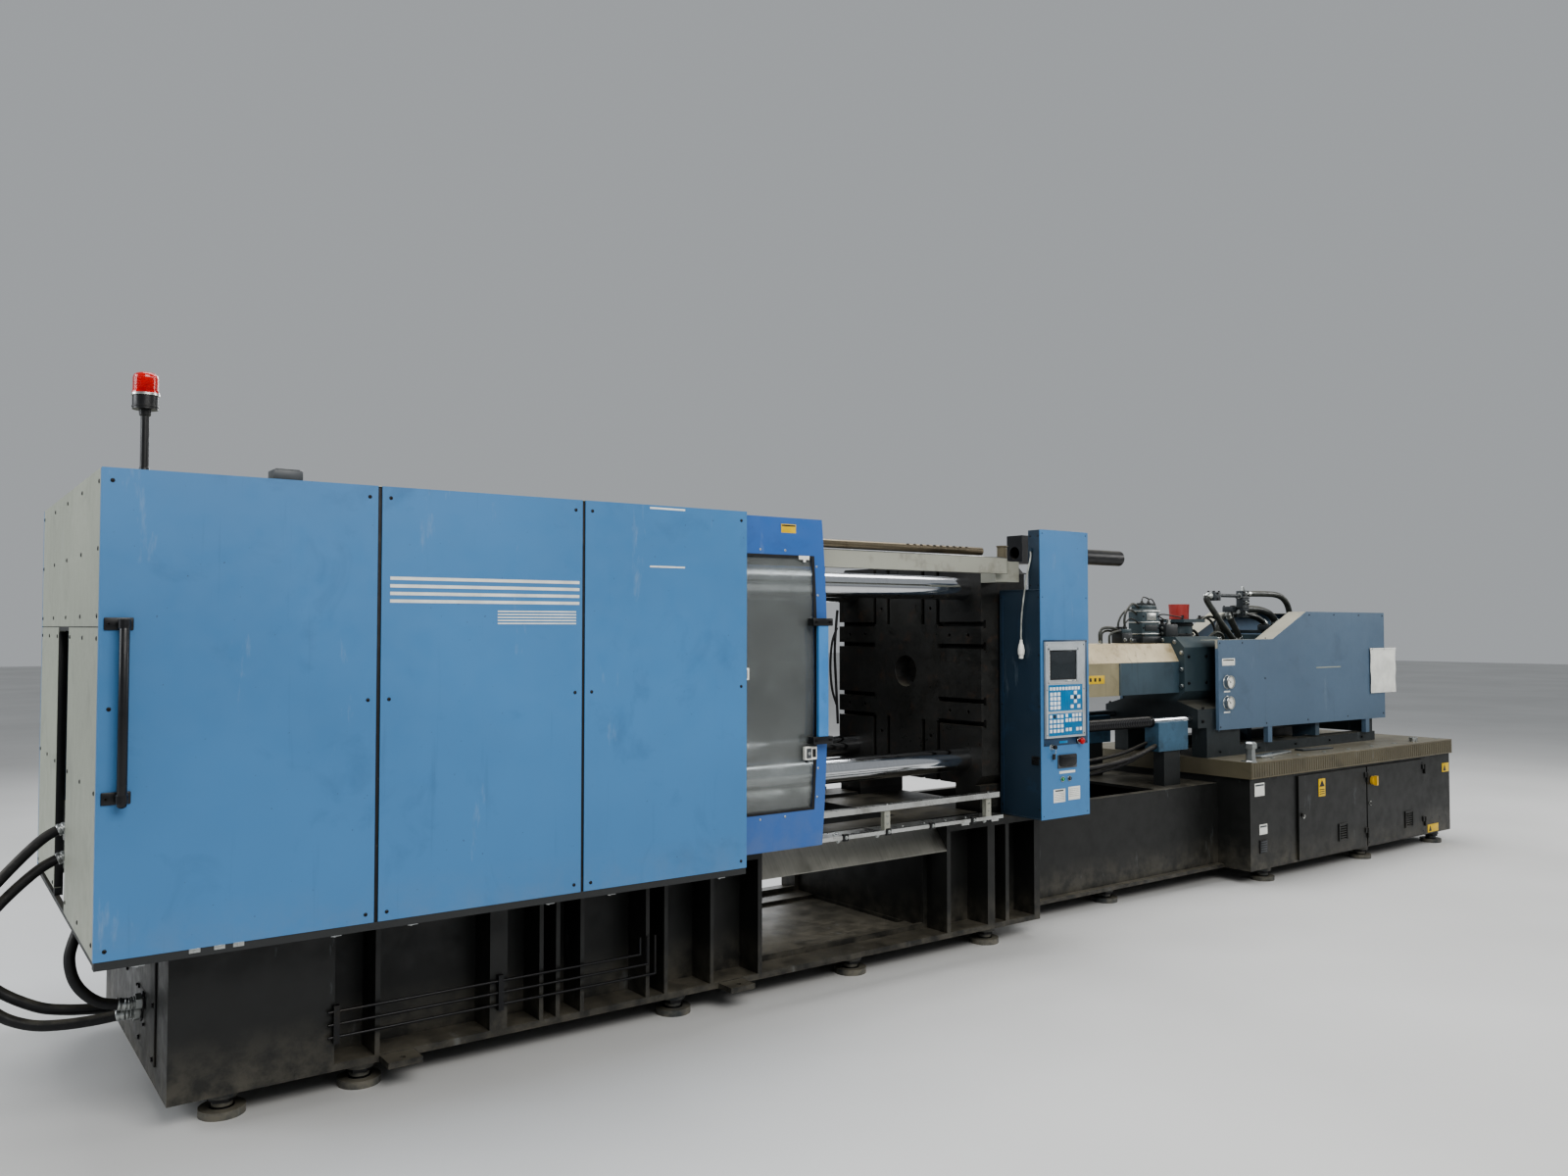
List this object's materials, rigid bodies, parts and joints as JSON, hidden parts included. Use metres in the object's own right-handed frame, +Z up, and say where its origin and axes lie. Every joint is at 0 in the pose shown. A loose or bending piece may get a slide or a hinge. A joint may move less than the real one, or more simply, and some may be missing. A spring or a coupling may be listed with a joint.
{
  "type": "horizontal injection moulding machine",
  "caption": "Horizontal injection moulding machine with a double-toggle clamp under blue side panels, sliding safety doors, a control column and an injection unit on a cabinet base.",
  "frame": {"origin": "on the floor, under the middle of the machine measured without the hoses and the hanging cable", "axes": "+X from the clamp end towards the injection end, +Y from the operator side towards the rear, +Z up"},
  "size_m": [10.7079, 2.137, 2.82],
  "materials": {
    "base_paint": "semi-gloss, dusty",
    "panel_paint": "satin, fine texture",
    "door_paint": "satin",
    "cover_paint": "satin",
    "cream_paint": "satin",
    "column_paint": "satin",
    "frame_paint": "satin",
    "machine_paint": "semi-gloss",
    "platen_iron": "machined faces, oiled",
    "link_iron": "painted sides, bare bores",
    "bar_chrome": "hard chrome, oiled",
    "bright_steel": "turned and ground",
    "screw_steel": "blackened screw heads",
    "sheet_steel": "bare sheet, scuffed",
    "barrel_steel": "heat-tinted",
    "black_plastic": "matte",
    "grey_plastic": "fine texture",
    "white_plastic": "gloss",
    "red_plastic": "translucent look, gloss",
    "stop_red": "gloss",
    "green_plastic": "gloss",
    "switch_yellow": "gloss",
    "hose_rubber": "matte, slightly dusty",
    "clear_sheet": "clear impact sheet"
  },
  "bodies": {
    "machine_frame": {"clamp_base": "base_paint", "injection_base": "base_paint", "levelling_feet": "base_paint", "lube_pipes": "black_plastic", "fixed_platen": "platen_iron", "tie_bars": "bar_chrome", "front_panel_left": "panel_paint", "front_panel_middle": "panel_paint", "front_panel_right": "panel_paint", "rear_panels": "panel_paint", "panel_screws": "screw_steel", "guard_frame": "frame_paint", "end_hood": "cream_paint", "end_panels": "cream_paint", "grab_handle": "black_plastic", "beacon_post": "black_plastic", "beacon_lens": "red_plastic", "door_rails": "cream_paint", "control_column": "column_paint", "controller_panel": "grey_plastic", "safety_tube": "frame_paint", "chute_plate": "sheet_steel", "pump_motor": "machine_paint", "hose_couplings": "bright_steel", "hose_upper": "hose_rubber", "hose_lower": "hose_rubber", "hose_inner": "hose_rubber", "pendant_cable": "hose_rubber", "pendant_plug": "white_plastic", "guide_rods": "bar_chrome"},
    "front_door": {"front_door": "door_paint", "front_door_window": "clear_sheet", "front_door_handle": "door_paint"},
    "rear_door": {"rear_door": "door_paint"},
    "tail_platen": {"tail_platen": "machine_paint", "adjusting_nuts": "bright_steel", "clamp_cylinder": "machine_paint"},
    "moving_platen": {"moving_platen": "platen_iron", "safety_bar": "bright_steel"},
    "rear_link_upper": {"rear_link_upper": "link_iron"},
    "rear_link_lower": {"rear_link_lower": "link_iron"},
    "front_link_upper": {"front_link_upper": "link_iron"},
    "front_link_lower": {"front_link_lower": "link_iron"},
    "crosshead": {"crosshead": "link_iron"},
    "crosshead_link_upper": {"crosshead_link_upper": "link_iron"},
    "crosshead_link_lower": {"crosshead_link_lower": "link_iron"},
    "ejector": {"ejector_plate": "bright_steel"},
    "e_stop": {"e_stop": "stop_red"},
    "start_button": {"start_button": "green_plastic"},
    "stop_button": {"stop_button": "black_plastic"},
    "main_switch": {"main_switch": "switch_yellow"},
    "cabinet_door_left": {"cabinet_door_left": "base_paint"},
    "cabinet_door_right": {"cabinet_door_right": "base_paint"},
    "injection_carriage": {"injection_carriage": "machine_paint", "barrel": "barrel_steel", "barrel_guard": "cream_paint", "injection_cover": "cover_paint", "injection_hydraulics": "machine_paint"},
    "screw_drive": {"screw_drive": "machine_paint"},
    "screw": {"screw": "bright_steel"}
  },
  "joints": [
    {"name": "mould_height", "type": "slide", "parent": "machine_frame", "child": "tail_platen", "axis": [1, 0, 0], "range_m": [0, 0.5]},
    {"name": "platen_slide", "type": "slide", "parent": "tail_platen", "child": "moving_platen", "axis": [1, 0, 0], "range_m": [0, 0.83]},
    {"name": "rear_link_upper_hinge", "type": "hinge", "parent": "tail_platen", "child": "rear_link_upper", "pos_m": [-3.31405, 0, 2.152], "axis": [0, -1, 0], "range_deg": [0, 123.34]},
    {"name": "rear_link_lower_hinge", "type": "hinge", "parent": "tail_platen", "child": "rear_link_lower", "pos_m": [-3.31405, 0, 1.012], "axis": [0, 1, 0], "range_deg": [0, 123.34]},
    {"name": "front_link_upper_hinge", "type": "hinge", "parent": "moving_platen", "child": "front_link_upper", "pos_m": [-2.825, 0, 2.102], "axis": [0, 1, 0], "range_deg": [0, 26.13]},
    {"name": "front_link_lower_hinge", "type": "hinge", "parent": "moving_platen", "child": "front_link_lower", "pos_m": [-2.825, 0, 1.062], "axis": [0, -1, 0], "range_deg": [0, 26.13]},
    {"name": "crosshead_slide", "type": "slide", "parent": "tail_platen", "child": "crosshead", "axis": [1, 0, 0], "range_m": [0, 0.5616]},
    {"name": "crosshead_link_upper_hinge", "type": "hinge", "parent": "crosshead", "child": "crosshead_link_upper", "pos_m": [-3.45708, 0, 1.712], "axis": [0, -1, 0], "range_deg": [0, 16.29]},
    {"name": "crosshead_link_lower_hinge", "type": "hinge", "parent": "crosshead", "child": "crosshead_link_lower", "pos_m": [-3.45708, 0, 1.452], "axis": [0, 1, 0], "range_deg": [0, 16.29]},
    {"name": "ejector_slide", "type": "slide", "parent": "moving_platen", "child": "ejector", "axis": [1, 0, 0], "range_m": [0, 0.2]},
    {"name": "front_door_slide", "type": "slide", "parent": "machine_frame", "child": "front_door", "axis": [1, 0, 0], "range_m": [0, 1.515]},
    {"name": "rear_door_slide", "type": "slide", "parent": "machine_frame", "child": "rear_door", "axis": [-1, 0, 0], "range_m": [0, 1.515]},
    {"name": "carriage_slide", "type": "slide", "parent": "machine_frame", "child": "injection_carriage", "axis": [1, 0, 0], "range_m": [-0.1, 0.4]},
    {"name": "injection_slide", "type": "slide", "parent": "injection_carriage", "child": "screw_drive", "axis": [-1, 0, 0], "range_m": [0, 0.3]},
    {"name": "screw_turn", "type": "hinge", "parent": "screw_drive", "child": "screw", "pos_m": [0.18, 0, 1.582], "axis": [-1, 0, 0], "continuous": true},
    {"name": "cabinet_door_left_hinge", "type": "hinge", "parent": "machine_frame", "child": "cabinet_door_left", "pos_m": [3.735, -0.8, 0.43], "axis": [0, 0, 1], "range_deg": [0, 110]},
    {"name": "cabinet_door_right_hinge", "type": "hinge", "parent": "machine_frame", "child": "cabinet_door_right", "pos_m": [4.687, -0.8, 0.43], "axis": [0, 0, 1], "range_deg": [0, 110]},
    {"name": "main_switch_turn", "type": "hinge", "parent": "cabinet_door_right", "child": "main_switch", "pos_m": [3.82, -0.8, 0.63], "axis": [0, 1, 0], "range_deg": [0, 90]},
    {"name": "e_stop_press", "type": "slide", "parent": "machine_frame", "child": "e_stop", "axis": [0, 1, 0], "range_m": [0, 0.005]},
    {"name": "start_press", "type": "slide", "parent": "machine_frame", "child": "start_button", "axis": [0, 1, 0], "range_m": [0, 0.003], "stiffness_N_per_m": 900},
    {"name": "stop_press", "type": "slide", "parent": "machine_frame", "child": "stop_button", "axis": [0, 1, 0], "range_m": [0, 0.003], "stiffness_N_per_m": 900}
  ],
  "couplings": [
    {"joint": "rear_link_upper_hinge", "follows": "platen_slide", "rad_per_m": 2.5933},
    {"joint": "rear_link_lower_hinge", "follows": "platen_slide", "rad_per_m": 2.5933},
    {"joint": "front_link_upper_hinge", "follows": "platen_slide", "rad_per_m": 0.54897},
    {"joint": "front_link_lower_hinge", "follows": "platen_slide", "rad_per_m": 0.54897},
    {"joint": "crosshead_slide", "follows": "platen_slide", "ratio": 0.67644},
    {"joint": "crosshead_link_upper_hinge", "follows": "platen_slide", "rad_per_m": 0.34206},
    {"joint": "crosshead_link_lower_hinge", "follows": "platen_slide", "rad_per_m": 0.34206}
  ]
}
